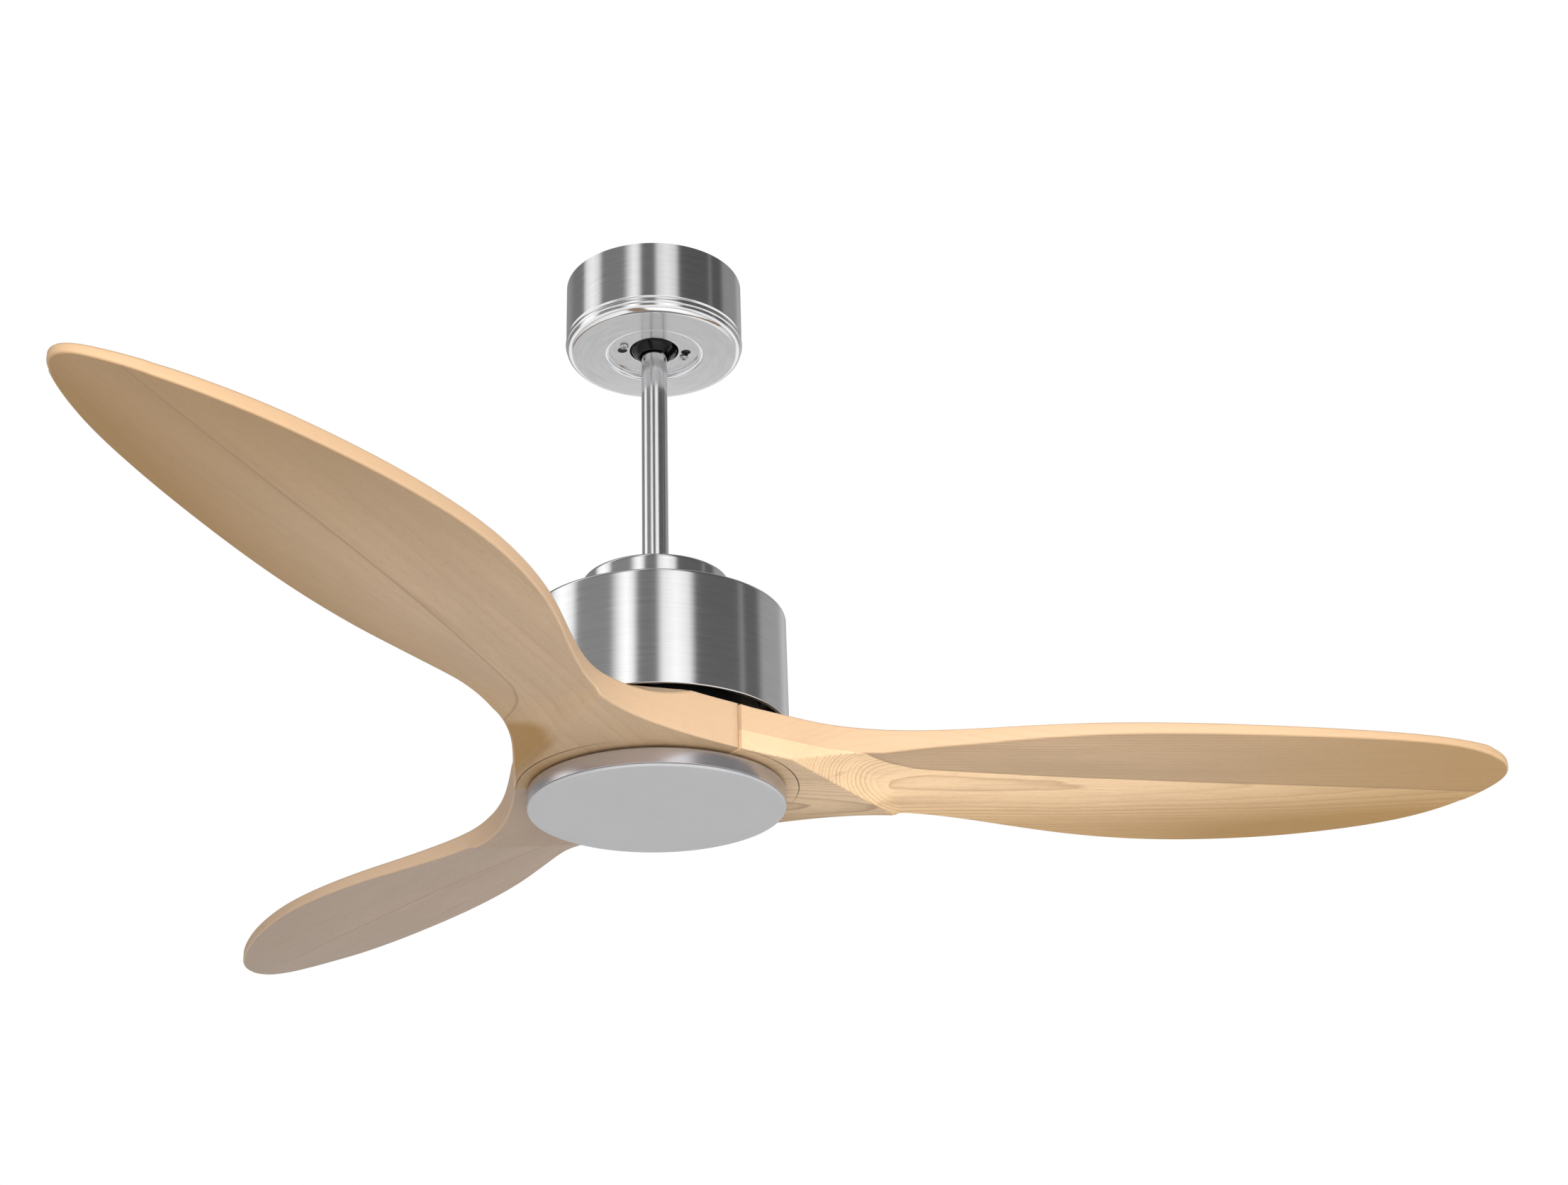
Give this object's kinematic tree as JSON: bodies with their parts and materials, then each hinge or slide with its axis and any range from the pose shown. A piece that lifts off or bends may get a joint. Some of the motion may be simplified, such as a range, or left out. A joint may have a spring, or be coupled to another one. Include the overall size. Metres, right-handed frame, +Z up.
{
  "type": "ceiling fan",
  "caption": "Down-rod ceiling fan with carved wooden propeller blades, a brushed metal motor can and a flat round opal light under the hub.",
  "frame": {"origin": "centre of the hanger bracket's face against the ceiling, on the fan's vertical axis", "axes": "+Z up along the rod towards the ceiling; the first blade points 4.4 degrees anticlockwise of +X seen from above"},
  "size_m": [1.0401, 1.1469, 0.452],
  "materials": {
    "brushed": "fine circumferential brushing, satin nickel",
    "zinc_steel": "zinc plated",
    "black_metal": "satin black",
    "cast_aluminium": "die cast, black painted outside",
    "core_steel": "laminated",
    "copper": "enamelled copper winding",
    "magnet": "ferrite",
    "wood": "clear matt varnish over carved laminated hardwood",
    "black_plastic": "moulded",
    "white_plastic": "moulded",
    "opal": "opal acrylic, satin",
    "board": "white solder mask",
    "led": "phosphor",
    "cable": "sheathed lead"
  },
  "bodies": {
    "hanger": {"ceiling_bracket": "black_metal", "earth_screw": "zinc_steel", "receiver_box": "black_plastic", "terminal_block": "white_plastic", "terminal_screws": "zinc_steel", "canopy_screws": "zinc_steel"},
    "canopy_cover": {"canopy": "brushed"},
    "suspension": {"hanger_ball": "black_plastic", "ball_pin": "zinc_steel", "downrod": "brushed", "yoke": "zinc_steel", "yoke_set_screws": "black_metal", "clevis_pin": "zinc_steel", "pin_clip": "zinc_steel", "motor_shaft": "zinc_steel", "motor_housing": "brushed", "housing_screws": "zinc_steel", "stator_core": "core_steel", "stator_windings": "copper", "power_lead": "cable", "lead_plug": "white_plastic", "light_pan": "brushed", "shaft_locknuts": "zinc_steel", "led_board": "board", "board_screws": "zinc_steel", "led_chips": "led", "light_plug": "white_plastic"},
    "cap": {"coupling_cap": "brushed"},
    "rotor": {"upper_bearing": "zinc_steel", "lower_bearing": "zinc_steel", "rotor_upper_cover": "cast_aluminium", "rotor_lower_cover": "cast_aluminium", "rotor_bolts": "zinc_steel", "rotor_back_iron": "core_steel", "rotor_magnets": "magnet", "blade_plate": "black_metal", "plate_screws": "zinc_steel", "blade_1": "wood", "blade_2": "wood", "blade_3": "wood", "blade_washers": "zinc_steel", "blade_screws": "zinc_steel", "blade_nuts": "zinc_steel"},
    "lens": {"diffuser": "opal"}
  },
  "joints": [
    {"name": "canopy_twist", "type": "hinge", "parent": "hanger", "child": "canopy_cover", "pos_m": [0, 0, 0], "axis": [0, 0, 1], "range_deg": [0, 17]},
    {"name": "hanger_tilt", "type": "hinge", "parent": "hanger", "child": "suspension", "pos_m": [0, 0, -0.0454], "axis": [0.4226, 0.9063, 0], "range_deg": [-15, 15]},
    {"name": "cap_lift", "type": "slide", "parent": "suspension", "child": "cap", "axis": [0, 0, 1], "range_m": [0, 0.14]},
    {"name": "rotor_spin", "type": "hinge", "parent": "suspension", "child": "rotor", "pos_m": [0, 0, -0.35], "axis": [0, 0, 1], "continuous": true},
    {"name": "lens_twist", "type": "hinge", "parent": "suspension", "child": "lens", "pos_m": [0, 0, -0.45], "axis": [0, 0, 1], "range_deg": [0, 12]}
  ]
}
